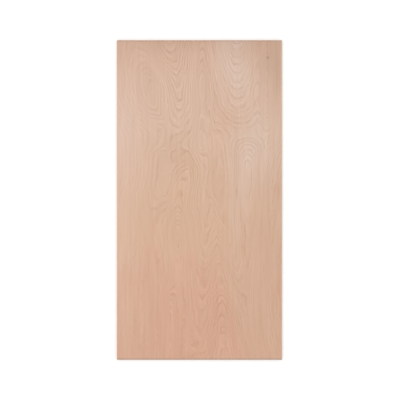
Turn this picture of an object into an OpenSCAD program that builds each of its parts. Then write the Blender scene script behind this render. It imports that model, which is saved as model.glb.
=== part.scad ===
// Plywood sheet: a full panel of cross-laminated hardwood veneers, pressed and sold as one piece of stock.
// It lies flat, good face up, with the face grain along Y.
// Millimetres, +Z up, origin at the middle of the underside.

/* [Sheet] */
// Length, along the face grain (Y)
sheet_length = 2440; // [610:1:3660]
// Width, across the face grain (X)
sheet_width = 1220; // [305:1:1830]
// Thickness over the two sanded faces (Z)
sheet_thickness = 18; // [4:0.5:40]

/* [Edges] */
// Leg of the 45 degree arris sanded along every edge of both faces
arris = 0.5; // [0.1:0.1:1.5]
// Plan radius that handling leaves on the four square-cut corners
corner_radius = 2; // [2:0.5:10]

/* [Hidden] */
$fn = 48;
// Pinkish tan of sanded, unsealed birch
birch_tan = [0.84, 0.70, 0.61];

// Distances between the centres of the corner arcs
straight_x = sheet_width - 2 * corner_radius;
straight_y = sheet_length - 2 * corner_radius;

// Cross-section through the sheet, standing on the X axis, with an arris at each of its four edges
module edged_section(width) {
    half = width / 2;
    polygon([
        [-half + arris, 0], [half - arris, 0],
        [half, arris], [half, sheet_thickness - arris],
        [half - arris, sheet_thickness], [-half + arris, sheet_thickness],
        [-half, sheet_thickness - arris], [-half, arris]
    ]);
}

// Bar of that section lying along Y
module bar_along_y(width, length) {
    translate([0, length / 2, 0])
        rotate([90, 0, 0])
            linear_extrude(height = length) edged_section(width);
}

// One turned corner, whose rim carries the same arris as the straight edges
module turned_corner() {
    rotate_extrude()
        intersection() {
            edged_section(2 * corner_radius);
            square([corner_radius, sheet_thickness]);
        }
}

// The whole panel: two bars that cross, and a turned corner where neither of them reaches
module plywood_sheet() {
    color(birch_tan) {
        bar_along_y(sheet_width, straight_y);
        rotate([0, 0, 90]) bar_along_y(sheet_length, straight_x);
        for (side = [-1, 1], end = [-1, 1])
            translate([side * straight_x / 2, end * straight_y / 2, 0]) turned_corner();
    }
}

plywood_sheet();
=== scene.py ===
import math

import bmesh
import bpy
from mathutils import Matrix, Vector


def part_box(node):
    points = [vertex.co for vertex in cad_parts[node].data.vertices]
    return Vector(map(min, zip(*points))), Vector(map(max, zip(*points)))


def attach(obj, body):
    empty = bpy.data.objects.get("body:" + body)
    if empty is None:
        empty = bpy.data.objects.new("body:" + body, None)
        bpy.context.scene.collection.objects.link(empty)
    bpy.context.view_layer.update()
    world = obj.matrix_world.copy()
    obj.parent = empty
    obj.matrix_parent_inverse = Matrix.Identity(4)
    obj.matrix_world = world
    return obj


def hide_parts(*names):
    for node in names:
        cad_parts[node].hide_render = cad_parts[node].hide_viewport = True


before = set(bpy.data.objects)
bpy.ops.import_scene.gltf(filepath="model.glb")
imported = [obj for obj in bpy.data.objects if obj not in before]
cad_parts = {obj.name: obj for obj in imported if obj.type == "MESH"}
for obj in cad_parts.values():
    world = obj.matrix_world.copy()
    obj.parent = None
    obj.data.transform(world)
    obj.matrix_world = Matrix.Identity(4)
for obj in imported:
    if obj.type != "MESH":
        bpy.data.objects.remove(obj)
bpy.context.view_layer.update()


# ---------------------------------------------------------------- studio
# A matt white floor under the sheet, a soft box high up, beyond its head and to the left, and a
# white surround that fills the shadows in. The camera looks down from a little beyond the head,
# and sees the sheet without perspective, so that its sides don't converge.

sheet_low, sheet_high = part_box("plywood_sheet")
sheet_width = sheet_high.x - sheet_low.x
sheet_length = sheet_high.y - sheet_low.y
sheet_thickness = sheet_high.z - sheet_low.z
sheet_middle = sheet_low.lerp(sheet_high, 0.5)

floor_reach = 14.0
lamp_side = 5.0
lamp_place = (-3.2, 2.6, 10.6)
lamp_watts = 192.0
lamp_colour = (1.0, 0.985, 0.965)
surround_strength = 1.0

# The camera's view is this many sheets wide, and its middle is a few millimetres off the sheet's.
view_widths = 2.427
camera_lean = math.radians(14.65)
camera_distance = 12.0
camera_sight = 60.0
camera_aside = 0.0046
camera_up = 0.003

bpy.ops.object.select_all(action="DESELECT")
bpy.ops.mesh.primitive_plane_add(size=2 * floor_reach, location=(0, 0, sheet_low.z))
floor = bpy.context.object
floor.name = "floor"
bpy.ops.object.transform_apply(location=True, rotation=True, scale=True)

paint = bpy.data.materials.new("matt_white_floor")
paint.use_nodes = True
paint_shader = paint.node_tree.nodes["Principled BSDF"]
paint_shader.inputs["Base Color"].default_value = (0.96, 0.96, 0.96, 1)
paint_shader.inputs["Roughness"].default_value = 0.9
paint_shader.inputs["Specular IOR Level"].default_value = 0.2
floor.data.materials.append(paint)

bpy.ops.object.light_add(type="AREA", location=lamp_place)
lamp = bpy.context.object
lamp.name = "soft_box"
lamp.data.shape = "SQUARE"
lamp.data.size = lamp_side
lamp.data.energy = lamp_watts
lamp.data.color = lamp_colour
to_sheet = sheet_middle - lamp.location
lamp.rotation_euler = to_sheet.to_track_quat("-Z", "Y").to_euler()

surround = bpy.data.worlds.new("surround")
surround.use_nodes = True
surround.node_tree.nodes["Background"].inputs["Color"].default_value = (1, 1, 1, 1)
surround.node_tree.nodes["Background"].inputs["Strength"].default_value = surround_strength
bpy.context.scene.world = surround

bpy.ops.object.camera_add(
    location=(
        sheet_middle.x + camera_aside,
        sheet_middle.y + camera_up + camera_distance * math.sin(camera_lean),
        sheet_high.z + camera_distance * math.cos(camera_lean),
    ),
    rotation=(-camera_lean, 0, 0),
)
camera = bpy.context.object
camera.data.type = "ORTHO"
camera.data.ortho_scale = view_widths * sheet_width
camera.data.clip_end = camera_sight
bpy.context.scene.camera = camera
bpy.context.scene.view_settings.view_transform = "Standard"


# ---------------------------------------------------------------- the sheet
# Thirteen birch veneers, laid crosswise in turn, glued, pressed, sanded on both faces and sawn
# square. Each edge shows its veneers: those cut across the fibre wear a little lower than those
# cut along it. Every edge of both faces has an arris, and the corners are slightly rounded.

corner_radius = 0.002
corner_segments = 6
arris = 0.0005
arris_segments = 2
smooth_below = math.radians(30)

veneers = 13
face_veneer = 0.0012
core_veneer = (sheet_thickness - 2 * face_veneer) / (veneers - 2)
worn_depth = 0.00012
worn_rim = 1.5 * worn_depth
square_on = 0.99


def pick(kind, test):
    """Leaves selected only those faces or edges of the mesh in edit mode for which the test holds."""
    bpy.ops.mesh.select_mode(type={"faces": "FACE", "edges": "EDGE"}[kind])
    bpy.ops.mesh.select_all(action="DESELECT")
    edited = bmesh.from_edit_mesh(bpy.context.edit_object.data)
    for item in getattr(edited, kind):
        if test(item):
            item.select_set(True)
    bmesh.update_edit_mesh(bpy.context.edit_object.data)


def upright(edge):
    """Whether an edge of the plain board is one of its four corners."""
    return abs(edge.verts[0].co.z - edge.verts[1].co.z) > sheet_thickness / 2


def veneer_at(z):
    """Which veneer a height lies in, counted from 0 at the underside."""
    up = z - sheet_low.z - face_veneer
    return 0 if up < 0 else min(veneers - 1, 1 + int(up / core_veneer))


def cut_across(face):
    """Whether a flat edge face shows a veneer whose fibres were sawn across."""
    on_long_edge = abs(face.normal.x) > square_on
    on_short_edge = abs(face.normal.y) > square_on
    odd = veneer_at(face.calc_center_median().z) % 2 == 1
    return (on_long_edge and odd) or (on_short_edge and not odd)


bpy.ops.object.select_all(action="DESELECT")
bpy.ops.mesh.primitive_cube_add(
    size=1, location=sheet_middle, scale=(sheet_width, sheet_length, sheet_thickness)
)
sheet = bpy.context.object
sheet.name = "plywood_board"
sheet.data.name = "plywood_board"
bpy.ops.object.transform_apply(location=True, rotation=True, scale=True)

bpy.ops.object.mode_set(mode="EDIT")
pick("edges", upright)
bpy.ops.mesh.bevel(offset=corner_radius, segments=corner_segments, affect="EDGES")
pick("edges", lambda edge: any(abs(face.normal.z) > 0.5 for face in edge.link_faces))
bpy.ops.mesh.bevel(offset=arris, segments=arris_segments, affect="EDGES")
# A cut round the board at each line of glue.
for joint in range(veneers - 1):
    height = sheet_low.z + face_veneer + joint * core_veneer
    bpy.ops.mesh.select_all(action="SELECT")
    bpy.ops.mesh.bisect(plane_co=(0, 0, height), plane_no=(0, 0, 1))
pick("faces", cut_across)
bpy.ops.mesh.inset(thickness=worn_rim, depth=-worn_depth, use_individual=True)
bpy.ops.mesh.select_all(action="SELECT")
bpy.ops.mesh.normals_make_consistent(inside=False)
bpy.ops.object.mode_set(mode="OBJECT")
bpy.ops.object.shade_smooth_by_angle(angle=smooth_below)

# The map on which the finish is laid out: the two faces side by side, and the four edges as
# strips beside them, stretched across so that every veneer keeps some width.
whole_height = (0.005, 0.995)
face_place = (0.005, 0.475)
back_place = (0.485, 0.845)
long_places = ((0.855, 0.905), (0.910, 0.960))
short_place = (0.965, 0.995)
short_heights = ((0.005, 0.495), (0.505, 0.995))
layout = sheet.data.uv_layers.new(name="OFBake")


def share(value, low, high):
    """How far a value lies from low to high: 0 at low and 1 at high."""
    return (value - low) / (high - low)


def between(place, at):
    """The value that lies this share of the way from a place's start to its end."""
    return place[0] + (place[1] - place[0]) * at


def side_of(normal):
    """The side of the sheet that a face belongs to. Half of each arris counts with its face."""
    if abs(normal.z) > 0.9:
        return "good_face" if normal.z > 0 else "back"
    return "long_edges" if abs(normal.x) > abs(normal.y) else "short_edges"


def layout_place(at, normal):
    """Where a point of the surface lies on the map."""
    across = share(at.x, sheet_low.x, sheet_high.x)
    along = share(at.y, sheet_low.y, sheet_high.y)
    up = share(at.z, sheet_low.z, sheet_high.z)
    side = side_of(normal)
    if side == "good_face":
        return between(face_place, across), between(whole_height, along)
    if side == "back":
        return between(back_place, across), between(whole_height, along)
    if side == "long_edges":
        return between(long_places[normal.x > 0], up), between(whole_height, along)
    return between(short_place, up), between(short_heights[normal.y > 0], across)


for face in sheet.data.polygons:
    for corner in face.loop_indices:
        point = sheet.data.vertices[sheet.data.loops[corner].vertex_index].co
        layout.data[corner].uv = layout_place(point, face.normal)

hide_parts("plywood_sheet")
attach(sheet, "root")


# ---------------------------------------------------------------- good face
# The upper veneer is peeled from a turning log, so that the knife cuts its growth rings at a very
# flat angle. Over each swelling of the log they show as nested arches, and elsewhere as straight
# lines. The veneer is sanded fine and left bare: pinkish tan, with a faint satin.


class Wire:
    """The output of a shader node. Python's own arithmetic on wires adds the Math nodes for it."""

    def __init__(self, socket):
        self.socket = socket
        self.nodes = socket.id_data.nodes
        self.links = socket.id_data.links

    def node(self, kind, settings, sockets, output=0):
        """Adds a node, with its settings made first, and then the values or wires of its sockets."""
        made = self.nodes.new(kind)
        for name, value in settings.items():
            if name == "curve":
                line = made.mapping.curves[0].points
                line[0].location, line[1].location = value[0], value[-1]
                for point in value[1:-1]:
                    line.new(*point)
                made.mapping.update()
            elif name == "stops":
                ramp = made.color_ramp.elements
                for at, colour in value[1:-1]:
                    ramp.new(at)
                for stop, (at, colour) in zip(ramp, value):
                    stop.position, stop.color = at, colour
            else:
                setattr(made, name, value)
        for name, value in sockets.items():
            if isinstance(value, Wire):
                self.links.new(value.socket, made.inputs[name])
            else:
                made.inputs[name].default_value = value
        return Wire(made.outputs[output])

    def math(self, operation, *values):
        return self.node("ShaderNodeMath", {"operation": operation}, dict(enumerate((self, *values))))

    def __add__(self, other):
        return self.math("ADD", other)

    def __sub__(self, other):
        return self.math("SUBTRACT", other)

    def __mul__(self, other):
        return self.math("MULTIPLY", other)

    def __truediv__(self, other):
        return self.math("DIVIDE", other)

    def __rsub__(self, other):
        return self.math("MULTIPLY_ADD", -1.0, other)

    __radd__ = __add__
    __rmul__ = __mul__

    def swell(self):
        """1 where the wire is 0, falling away smoothly to 0 on both sides."""
        return (self * self * -1).math("EXPONENT")

    def past(self, limit):
        """How far the wire is past a limit, and 0 before it."""
        return (self - limit).math("MAXIMUM", 0.0)

    def held(self):
        """The wire, kept between 0 and 1."""
        return self.node("ShaderNodeClamp", {}, {"Value": self})

    def curve(self, points):
        """A smooth curve through (value of the wire, value given) points, or the one value of all."""
        start, end = points[0][0], points[-1][0]
        low, high = min(value for _, value in points), max(value for _, value in points)
        if low == high:
            return low
        shares = [(share(at, start, end), share(value, low, high)) for at, value in points]
        along = self.math("MULTIPLY_ADD", 1 / (end - start), start / (start - end))
        found = self.node("ShaderNodeFloatCurve", {"curve": shares}, {"Value": along})
        return found.math("MULTIPLY_ADD", high - low, low)

    def noise(self, other, cell, seed, detail=1.0):
        """Smooth noise from about -1 to 1 over two wires, in cells of this size."""
        place = self.node("ShaderNodeCombineXYZ", {}, {0: self / cell[0], 1: other / cell[1], 2: seed})
        found = self.node("ShaderNodeTexNoise", {}, {"Vector": place, "Scale": 1.0, "Detail": detail})
        # The node's own noise lies about 0.5, and seldom leaves 0.12 to 0.88.
        return (found - 0.5) * 2.6

    def blend(self, first, second):
        """The first colour where the wire is 0, and the second where it is 1."""
        # The Mix node's colours are its inputs 6 and 7, and its output 2.
        colours = {"Factor": self, 6: first, 7: second}
        return self.node("ShaderNodeMix", {"data_type": "RGBA"}, colours, 2)


def tone(red, green, blue):
    """A colour given from 0 to 255, as on a colour card, in the shader's own numbers."""
    parts = [value / 255 for value in (red, green, blue)]
    return (*[p / 12.92 if p < 0.04045 else ((p + 0.055) / 1.055) ** 2.4 for p in parts], 1.0)


def new_finish(name):
    """A new material on the side of that name: its shader, and wires of the three coordinates."""
    finish = bpy.data.materials.new(name)
    finish.use_nodes = True
    sheet.data.materials.append(finish)
    for face in sheet.data.polygons:
        if side_of(face.normal) == name:
            face.material_index = len(sheet.data.materials) - 1
    place = finish.node_tree.nodes.new("ShaderNodeTexCoord").outputs["Object"]
    parts = finish.node_tree.nodes.new("ShaderNodeSeparateXYZ")
    finish.node_tree.links.new(place, parts.inputs[0])
    return finish.node_tree.nodes["Principled BSDF"], [Wire(part) for part in parts.outputs]


def wire_up(shader, colour, roughness, height, depth):
    """Feeds the shader its colour and roughness, and a relief in which height 1 is this deep."""
    relief = height.node("ShaderNodeBump", {}, {"Height": height, "Distance": depth})
    for name, wire in (("Base Color", colour), ("Roughness", roughness), ("Normal", relief)):
        wire.links.new(wire.socket, shader.inputs[name])


foot, head = sheet_low.y, sheet_high.y

# The folds of the log's surface. Each has its middle across the sheet, its half-width and its
# height in growth rings, as (place along the sheet, value) points from the foot to the head.
good_folds = (
    # The long one, left of the middle.
    (
        (
            (foot, -0.12), (-0.6, -0.14), (-0.2, -0.17), (-0.1, -0.17), (0.06, -0.145), (0.2, -0.11),
            (0.3, -0.095), (0.38, -0.13), (0.46, -0.19), (0.6, -0.18), (0.72, -0.155), (0.86, -0.16),
            (1.0, -0.185), (1.1, -0.21), (head, -0.225),
        ),
        (
            (foot, 0.17), (-0.4, 0.16), (-0.12, 0.145), (0.1, 0.125), (0.2, 0.13), (0.3, 0.15),
            (0.38, 0.16), (0.48, 0.17), (0.6, 0.16), (0.75, 0.14), (0.86, 0.13), (1.0, 0.16),
            (head, 0.20),
        ),
        (
            (foot, 10.5), (-0.6, 11.6), (-0.22, 11.4), (-0.17, 11.0), (-0.12, 10.4), (-0.06, 9.4),
            (0.0, 8.9), (0.06, 8.55), (0.11, 8.3), (0.16, 7.9), (0.225, 7.0), (0.26, 6.0), (0.30, 5.0),
            (0.35, 4.1), (0.40, 3.8), (0.46, 4.3), (0.52, 5.2), (0.60, 6.3), (0.675, 7.3), (0.74, 8.2),
            (0.86, 9.2), (0.95, 10.4), (1.03, 12.0), (head, 15.0),
        ),
    ),
    # The one on the right, whose arches part half-way from the middle to the head.
    (
        (
            (foot, 0.40), (0.0, 0.36), (0.35, 0.355), (0.45, 0.35), (0.55, 0.30), (0.7, 0.29),
            (head, 0.28),
        ),
        ((foot, 0.10), (-0.3, 0.10), (0.2, 0.10), (0.4, 0.13), (0.5, 0.16), (0.65, 0.18), (head, 0.17)),
        (
            (foot, 1.0), (-0.9, 2.5), (-0.4, 6.0), (0.0, 8.5), (0.2, 9.0), (0.28, 8.7), (0.33, 8.0),
            (0.37, 7.0), (0.41, 6.0), (0.44, 5.0), (0.47, 4.0), (0.50, 3.0), (0.54, 2.8), (0.577, 3.4),
            (0.61, 4.3), (0.653, 5.2), (0.72, 7.0), (0.80, 8.0), (0.925, 10.0), (1.05, 12.0),
            (head, 15.0),
        ),
    ),
    # The one that leans from the foot to the middle, and ends there.
    (
        (
            (foot, 0.20), (-1.0, 0.185), (-0.7, 0.167), (-0.45, 0.146), (-0.2, 0.12), (0.0, 0.09),
            (head, 0.08),
        ),
        (
            (foot, 0.20), (-1.0, 0.15), (-0.8, 0.13), (-0.6, 0.11), (-0.45, 0.08), (-0.2, 0.05),
            (0.0, 0.03), (head, 0.03),
        ),
        (
            (foot, 15.5), (-1.0, 14.3), (-0.87, 13.0), (-0.816, 12.5), (-0.79, 12.1), (-0.735, 11.2),
            (-0.70, 10.3), (-0.669, 9.6), (-0.62, 9.1), (-0.57, 8.8), (-0.50, 8.3), (-0.473, 7.8),
            (-0.446, 7.1), (-0.40, 6.2), (-0.34, 5.2), (-0.28, 4.2), (-0.22, 3.3), (-0.17, 2.6),
            (-0.10, 2.0), (0.0, 1.0), (0.05, 0.0), (head, 0.0),
        ),
    ),
    # A narrow one on the left, near the foot.
    (
        ((foot, -0.225), (head, -0.225)),
        ((foot, 0.055), (-0.7, 0.05), (head, 0.04)),
        (
            (foot, 10.0), (-1.0, 8.0), (-0.88, 7.0), (-0.825, 6.0), (-0.77, 5.0), (-0.735, 4.0),
            (-0.70, 3.0), (-0.63, 1.5), (-0.4, 0.0), (head, 0.0),
        ),
    ),
    # A narrow one through the pin knot.
    (
        ((foot, 0.505), (head, 0.505)),
        ((foot, 0.045), (head, 0.045)),
        ((foot, 0.0), (0.40, 0.0), (0.54, 2.0), (0.62, 4.0), (0.72, 6.5), (0.83, 8.0), (head, 10.0)),
    ),
)

# Small swellings and hollows: middle (x, y), half-width, half-length and height in rings.
good_hills = (
    (-0.340, 0.84, 0.030, 0.07, -2.0),
    (0.015, 0.90, 0.045, 0.40, -3.0),
    (0.000, 0.40, 0.050, 0.20, -1.5),
    (0.150, 0.22, 0.060, 0.30, -1.2),
    (-0.155, -0.28, 0.050, 0.16, 3.5),
    (-0.225, 0.330, 0.045, 0.15, 1.6),
    (0.505, 1.087, 0.020, 0.03, 2.0),
    (0.495, 0.755, 0.035, 0.03, 1.5),
    (0.560, -0.08, 0.030, 0.04, 1.5),
    (0.420, 0.53, 0.050, 0.05, 0.6),
    (0.340, -0.80, 0.040, 0.20, 0.8),
    (-0.050, 0.58, 0.040, 0.10, 0.7),
)

# This far to the left and right of the middle, the rings begin to run straight to the long edges,
# this many to the metre.
left_limit = (
    (foot, 0.24), (0.0, 0.24), (0.2, 0.20), (0.45, 0.20), (0.6, 0.26), (0.75, 0.34), (0.9, 0.37),
    (head, 0.39),
)
right_limit = ((foot, 0.42), (-0.6, 0.36), (0, 0.40), (0.35, 0.46), (0.5, 0.52), (head, 0.54))
straight_rings = 36.0

# How far, in rings, the small waves of the surface lift them, from the foot to the head.
ripples = (
    (foot, 0.3), (-0.93, 0.5), (-0.75, 0.25), (-0.3, 0.35), (0.0, 0.15), (0.4, 0.15), (0.65, 0.25),
    (1.0, 0.2), (head, 0.15),
)

# How clearly the rings show, from the foot to the head and from side to side.
clear_along = ((foot, 0.8), (-0.75, 0.9), (-0.55, 0.7), (-0.25, 0.7), (0.0, 0.7), (0.2, 1.0), (head, 1.0))
clear_across = (
    (sheet_low.x, 0.5), (-0.38, 0.6), (-0.30, 1.0), (0.52, 1.0), (0.56, 0.8), (sheet_high.x, 0.5),
)

# Where they show better still: middle (x, y), half-width, half-length and how much better.
clear_patches = (
    (-0.17, 1.00, 0.13, 0.32, 0.45),
    (0.17, -0.75, 0.11, 0.28, 0.60),
    (-0.12, 0.00, 0.11, 0.18, 0.50),
    (0.10, -0.20, 0.06, 0.20, 0.60),
    (-0.21, -0.78, 0.06, 0.16, 0.60),
)


def off_middle(x, y, at_x, at_y, half_width, half_length):
    """How far out of an oval a point lies, squared: 0 in its middle and 1 on its outline."""
    return ((x - at_x) / half_width).math("POWER", 2.0) + ((y - at_y) / half_length).math("POWER", 2.0)


def patch(x, y, *oval):
    """1 in the middle of an oval, falling away smoothly to 0 all round."""
    return (off_middle(x, y, *oval) * -1).math("EXPONENT")


def with_patches(start, x, y, patches):
    """What it starts from, with patches added that are as high as the last value of their row."""
    return sum((patch(x, y, *oval) * much for *oval, much in patches), start)


def ring_depth(x, y, folds, hills):
    """How deep into the log the knife ran at each point, counted in growth rings."""
    depth = ((x * -1 - y.curve(left_limit)).past(0) - (x - y.curve(right_limit)).past(0)) * straight_rings
    for middle, width, rings in folds:
        depth = depth + y.curve(rings) * ((x - y.curve(middle)) / y.curve(width)).swell()
    return with_patches(depth, x, y, hills)


def waver(x, y, seed):
    """How far, in rings, the growth of the log strays from those even folds."""
    broad = x.noise(y, (0.20, 0.70), seed) * 0.4
    drawn_out = x.noise(y, (0.030, 0.45), seed + 3) * 0.30
    wavy = x.noise(y, (0.080, 0.055), seed + 5) * y.curve(ripples)
    fine = x.noise(y, (0.007, 0.07), seed + 7) * 0.10
    return broad + drawn_out + wavy + fine


# Over one growth ring: a dark line of late wood in its middle, and pale early wood on both sides.
one_ring = ((0, 0.45), (0.25, 0.25), (0.42, -0.45), (0.55, -0.8), (0.68, -0.45), (0.85, 0.3), (1, 0.45))

# Weaker lines lie between the rings, this many to a ring.
fine_lines = 2.3

# How much the rings, the fibre and the bands lighten or darken the wood.
ring_contrast = 0.070
fibre_contrast = 0.100
band_contrast = 0.045

# What that does to its red, green and blue: red changes least, so that darker wood is warmer.
shade_gain = (0.77, 1.0, 1.21)
shade_start = (0.867, 0.845, 0.826)


def ring_bands(depth, y, seed):
    """Bands of slightly different tone that follow the rings, from about -1 to 1."""
    return depth.noise(y, (2.2, 0.70), seed)


def grained(wood, x, y, depth, strength, seed):
    """The wood's colour with its rings, their bands and its fibre; then the rings and fibre alone."""
    fine = (depth * fine_lines).math("FRACT").curve(one_ring)
    rings = (depth.math("FRACT").curve(one_ring) + fine * 0.5) * strength
    fibre = x.noise(y, (0.020, 0.35), seed, 4.0) * 0.7 + x.noise(y, (0.0015, 0.05), seed + 2) * 0.3
    shade = rings * ring_contrast + fibre * fibre_contrast + ring_bands(depth, y, seed + 4) * band_contrast
    warm = {0: shade, 1: shade_gain, 2: shade_start}
    shade = shade.node("ShaderNodeVectorMath", {"operation": "MULTIPLY_ADD"}, warm)
    wood = shade.node("ShaderNodeVectorMath", {"operation": "MULTIPLY"}, {0: wood, 1: shade})
    return wood, rings, fibre


def tinted(wood, x, y, tints):
    """The wood with oval tints laid over it in turn."""
    for *oval, much, colour in tints:
        wood = (patch(x, y, *oval) * much).blend(wood, colour)
    return wood


# The wood's own colour, as (place along the sheet, colour) from the foot to the head.
good_tones = (
    (foot, (214, 171, 146)), (-0.75, (214, 173, 148)), (-0.20, (215, 178, 152)), (0.20, (215, 181, 157)),
    (0.60, (217, 185, 164)), (0.95, (216, 183, 162)), (1.10, (212, 178, 156)), (head, (203, 167, 145)),
)

# Where it changes across the sheet, painted light and shade among it: middle (x, y), half-width,
# half-length, how much, colour.
tints_and_painted_light = (
    # Lighter down the left: partly the wood's own tone, partly painted light from the left.
    (-0.60, -0.35, 0.12, 1.20, 0.55, tone(223, 188, 166)),
    # Darker at the top left corner: painted shade.
    (-0.62, 1.20, 0.22, 0.26, 0.7, tone(206, 170, 148)),
    # A pale lilac-grey patch on the left: painted sheen.
    (-0.54, 0.58, 0.11, 0.42, 0.5, tone(222, 194, 180)),
    (0.50, -0.95, 0.16, 0.35, 0.3, tone(219, 182, 157)),
    # These two, darker down the right: partly the wood's own tone, partly painted shade.
    (0.66, -0.10, 0.22, 1.40, 0.30, tone(203, 168, 145)),
    (0.64, -0.60, 0.12, 0.40, 0.3, tone(209, 170, 144)),
    (0.33, -0.60, 0.10, 0.60, 0.7, tone(213, 176, 151)),
    (0.42, 0.44, 0.15, 0.24, 0.8, tone(220, 195, 179)),
    (0.31, 0.13, 0.08, 0.28, 0.8, tone(219, 190, 171)),
    (0.28, 1.20, 0.10, 0.07, 0.4, tone(209, 186, 176)),
    (0.10, -0.85, 0.10, 0.45, 0.5, tone(210, 167, 142)),
    # Darker at the top right corner: painted shade.
    (0.56, 1.06, 0.14, 0.24, 0.75, tone(198, 164, 142)),
    (0.20, 0.62, 0.13, 0.10, 0.5, tone(213, 175, 150)),
    (-0.12, 0.16, 0.10, 0.24, 0.4, tone(212, 175, 146)),
    (0.15, 0.12, 0.07, 0.28, 0.3, tone(211, 173, 146)),
    (0.34, -0.24, 0.010, 0.14, 0.5, tone(206, 158, 128)),
)

# Small rusty flecks and smears, given in the same way, with firmer outlines.
good_flecks = (
    (0.276, 0.060, 0.006, 0.045, 0.50, tone(198, 148, 114)),
    (-0.146, 0.045, 0.035, 0.020, 0.30, tone(214, 164, 134)),
    (-0.335, -0.200, 0.012, 0.060, 0.40, tone(219, 166, 140)),
    (0.570, 0.080, 0.025, 0.050, 0.35, tone(206, 157, 132)),
    (0.385, 0.080, 0.006, 0.050, 0.30, tone(205, 158, 128)),
    (0.101, 0.254, 0.035, 0.090, 0.30, tone(205, 166, 136)),
    (0.476, -0.520, 0.005, 0.045, 0.40, tone(205, 152, 124)),
    (0.585, -0.680, 0.018, 0.110, 0.45, tone(212, 160, 134)),
    (-0.320, -0.430, 0.012, 0.060, 0.40, tone(219, 165, 140)),
)

# How far, in metres, those tints stray along the sheet, from the foot to the head.
raggedness = ((foot, 0.25), (0, 0.20), (0.8, 0.10), (head, 0.02))

shader, (x, y, _) = new_finish("good_face")

# The rings are too broad to show where the knife ran level with them. Two points a small step
# away tell how steeply it crossed them.
step_across, step_along = 0.004, 0.008
steep_enough = 0.006
even_depth = ring_depth(x, y, good_folds, good_hills)
across = ring_depth(x + step_across, y, good_folds, good_hills) - even_depth
along = ring_depth(x, y + step_along, good_folds, good_hills) - even_depth
steep = ((across * across + along * along) / steep_enough).held()

depth = even_depth + waver(x, y, 1.0)
band = ring_bands(depth, y, 17.0)
streak = x.noise(y, (0.045, 0.60), 31.0, 3.0)
blotch = x.noise(y, (0.10, 0.18), 33.0, 2.0)

stops = [(share(at, foot, head), tone(*colour)) for at, colour in good_tones]
wood = x.node("ShaderNodeValToRGB", {"stops": stops}, {"Fac": (y - foot) / sheet_length})
ragged_x = x + band * 0.06 + streak * 0.04
ragged_y = y + (streak + band) * y.curve(raggedness)
# Among these tints are painted sheen, and painted light and shade across the sheet.
wood = tinted(wood, ragged_x, ragged_y, tints_and_painted_light)
wood = tinted(wood, x + band * 0.004, y, good_flecks)

# The innermost rings of the large fold near the head on the right carry a pale painted sheen, in a
# slanting oval.
sheen_from, sheen_over = 5.0, 2.5
sheen_oval = (0.61, 1.0, 0.14, 0.25)
inmost = ((depth + band * 3 - sheen_from) / sheen_over).held()
painted_sheen = inmost * patch(x + y * 0.35, y, *sheen_oval)
wood = (painted_sheen * 0.45).blend(wood, tone(222, 201, 189))

# A pink stain rises from the foot in streaks along the fibre. It leaves the right side clear, and
# is faint in one oval on the left.
stain_top = -0.46
stain_right = ((foot, 0.36), (-0.8, 0.26), (-0.45, 0.12), (0, 0.0), (head, 0.0))
stain_fade_up, stain_fade_right = 0.08, 0.07
faint_oval = (-0.50, -0.94, 0.13, 0.28)
columns = x.noise(y, (0.014, 0.40), 37.0, 2.0) * 0.7
top = streak * 0.35 + blotch * 0.12 + columns * 0.20 + stain_top
right = y.curve(stain_right) + streak * 0.08
inside = ((top - y) / stain_fade_up).held() * ((right - x) / stain_fade_right).held()
faint = 1 - patch(ragged_x, ragged_y, *faint_oval) * 0.85
stain = inside * (blotch * 0.7 + columns + 0.70) * (0.8 - y * 0.3) * faint
wood = (stain * 0.55).held().blend(wood, tone(217, 168, 143))

# The lines of the rings are broken: strong in some places, and lost in others.
broken = (x.noise(y, (0.045, 0.09), 11.0, 3.0) * 1.4 + 0.55).held() * 1.5
clear = x.curve(clear_across) * y.curve(clear_along) * with_patches(1, x, y, clear_patches)
strength = broken * clear * (steep * 0.9 + 0.1)
wood, rings, fibre = grained(wood, x, y, depth, strength, 13.0)

# A band along the foot is painted grey: painted shade, a contact shadow along the foot. Handling has
# dulled the rim at the head a little.
foot_shade_width, foot_shade_fade = 0.016, 0.010
head_rim, head_fade = 0.007, 0.003
foot_shade = ((foot + foot_shade_width + streak * 0.003 - y) / foot_shade_fade).held() * 0.6
dulled = ((y - (head - head_rim)) / head_fade).held() * 0.3
wood = (foot_shade + dulled).blend(wood, tone(152, 134, 124))

# One pin knot, brown and a little sunk: whole out to 0.8 of its oval, and gone at 1.8.
pin_knot = (0.506, 1.092, 0.008, 0.007)
knot = (1.8 - off_middle(x, y, *pin_knot).math("SQRT")).held()
wood = (knot * 0.48).blend(wood, tone(146, 106, 78))

# Sanding leaves the fibre standing this little.
sanded_depth = 0.00005
wire_up(shader, wood, 0.60 - rings * 0.04 + fibre * 0.03, fibre * 0.3 - knot * 3, sanded_depth)


# ---------------------------------------------------------------- back
# The under veneer is birch too, of a plainer log: two long folds, a small swelling and a small
# hollow. It is sanded like the face, and no stain or knot shows.

back_folds = (
    (
        ((foot, 0.20), (-0.2, 0.25), (head, 0.18)),
        ((foot, 0.15), (0.1, 0.20), (head, 0.14)),
        ((foot, 4.0), (-0.7, 9.0), (-0.2, 12.0), (0.4, 16.0), (head, 22.0)),
    ),
    (
        ((foot, -0.32), (0.3, -0.26), (head, -0.30)),
        ((foot, 0.16), (0.3, 0.10), (head, 0.13)),
        ((foot, 12.0), (-0.5, 8.0), (0.2, 3.0), (head, 9.0)),
    ),
)
back_hills = ((-0.02, 0.50, 0.07, 0.20, -3.0), (0.05, -0.85, 0.06, 0.25, 3.0))

shader, (x, y, _) = new_finish("back")
depth = ring_depth(x, y, back_folds, back_hills) + waver(x, y, 51.0)
wood = (ring_bands(depth, y, 57.0) * 0.5 + 0.5).held().blend(tone(214, 180, 154), tone(219, 186, 162))
strength = (x.noise(y, (0.06, 0.15), 61.0, 2.0) * 0.8 + 0.6).held()
wood, rings, fibre = grained(wood, x, y, depth, strength, 63.0)
wire_up(shader, wood, 0.62 - rings * 0.04 + fibre * 0.03, fibre * 0.3, sanded_depth)
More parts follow.
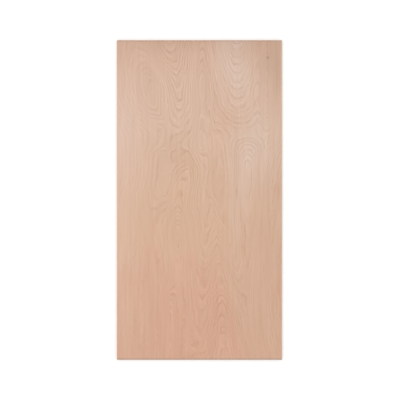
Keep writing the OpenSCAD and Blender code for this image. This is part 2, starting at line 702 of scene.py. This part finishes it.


# ---------------------------------------------------------------- edges
# The sawn edges show every veneer: pale and streaked where the saw ran with the fibre, browner
# and pored where it ran across, with a dark line of glue at each joint. In a few places two
# strips of an inner veneer don't quite meet, and a short gap is left, whose shade is painted
# dark brown.

glue_half = 0.00006
glue_fade = 0.02
gap_length = 0.030
gap_rarity = 0.62
gap_firmness = 25
sawn_depth = 0.0001

# The pattern is moved along by this much, one way or the other, so that opposite edges differ.
shift = 7.0


def edge_finish(name, along, first_across, seed):
    """A sawn edge that runs along this coordinate (0 or 1), where the veneers cut across are the
    even ones if first_across is 1, and else the odd ones."""
    shader, parts = new_finish(name)
    run = parts[along] + parts[1 - along].math("SIGN") * shift
    z = parts[2]
    up = (z - (sheet_low.z + face_veneer)) / core_veneer + 1
    veneer = up.math("FLOOR")
    across = (veneer + first_across).math("MODULO", 2.0)
    own = veneer.node("ShaderNodeTexWhiteNoise", {"noise_dimensions": "1D"}, {"W": veneer * 1.3 + seed})
    streaks = run.noise(z, (0.05, 0.00025), seed, 3.0)
    pores = run.noise(z, (0.0007, 0.0004), seed + 1)
    rings = run.noise(veneer * 3.1, (0.009, 1.0), seed + 2, 3.0)
    wood = across.blend(tone(214, 178, 143), tone(176, 135, 103))
    shade = across.blend(streaks * 0.10, pores * 0.12 + rings * 0.10) + own * 0.14 + 0.84
    wood = wood.node("ShaderNodeVectorMath", {"operation": "SCALE"}, {0: wood, "Scale": shade})

    # A glue line lies where one veneer ends and the next begins.
    off_joint = 0.5 - (up.math("FRACT") - 0.5).math("ABSOLUTE")
    glue = ((glue_half / core_veneer - off_joint) / glue_fade).held()
    wood = (glue * 0.8).blend(wood, tone(104, 72, 52))

    # No gaps in the two face veneers, and only faint ones in the veneers next to them.
    inner = (veneer - 0.5).held() * (veneers - 1.5 - veneer).held()
    gap_chance = run.noise(veneer * 5.7, (gap_length, 1.0), seed + 3)
    gap = ((gap_chance - gap_rarity) * gap_firmness).held() * inner
    # The gap's darkness is painted shade inside it, on top of its sunk relief.
    wood = gap.blend(wood, tone(70, 48, 36))
    wire_up(shader, wood, across * 0.12 + 0.66, shade - glue * 0.3 - gap * 3, sawn_depth)


edge_finish("long_edges", 1, 0, 71.0)
edge_finish("short_edges", 0, 1, 81.0)
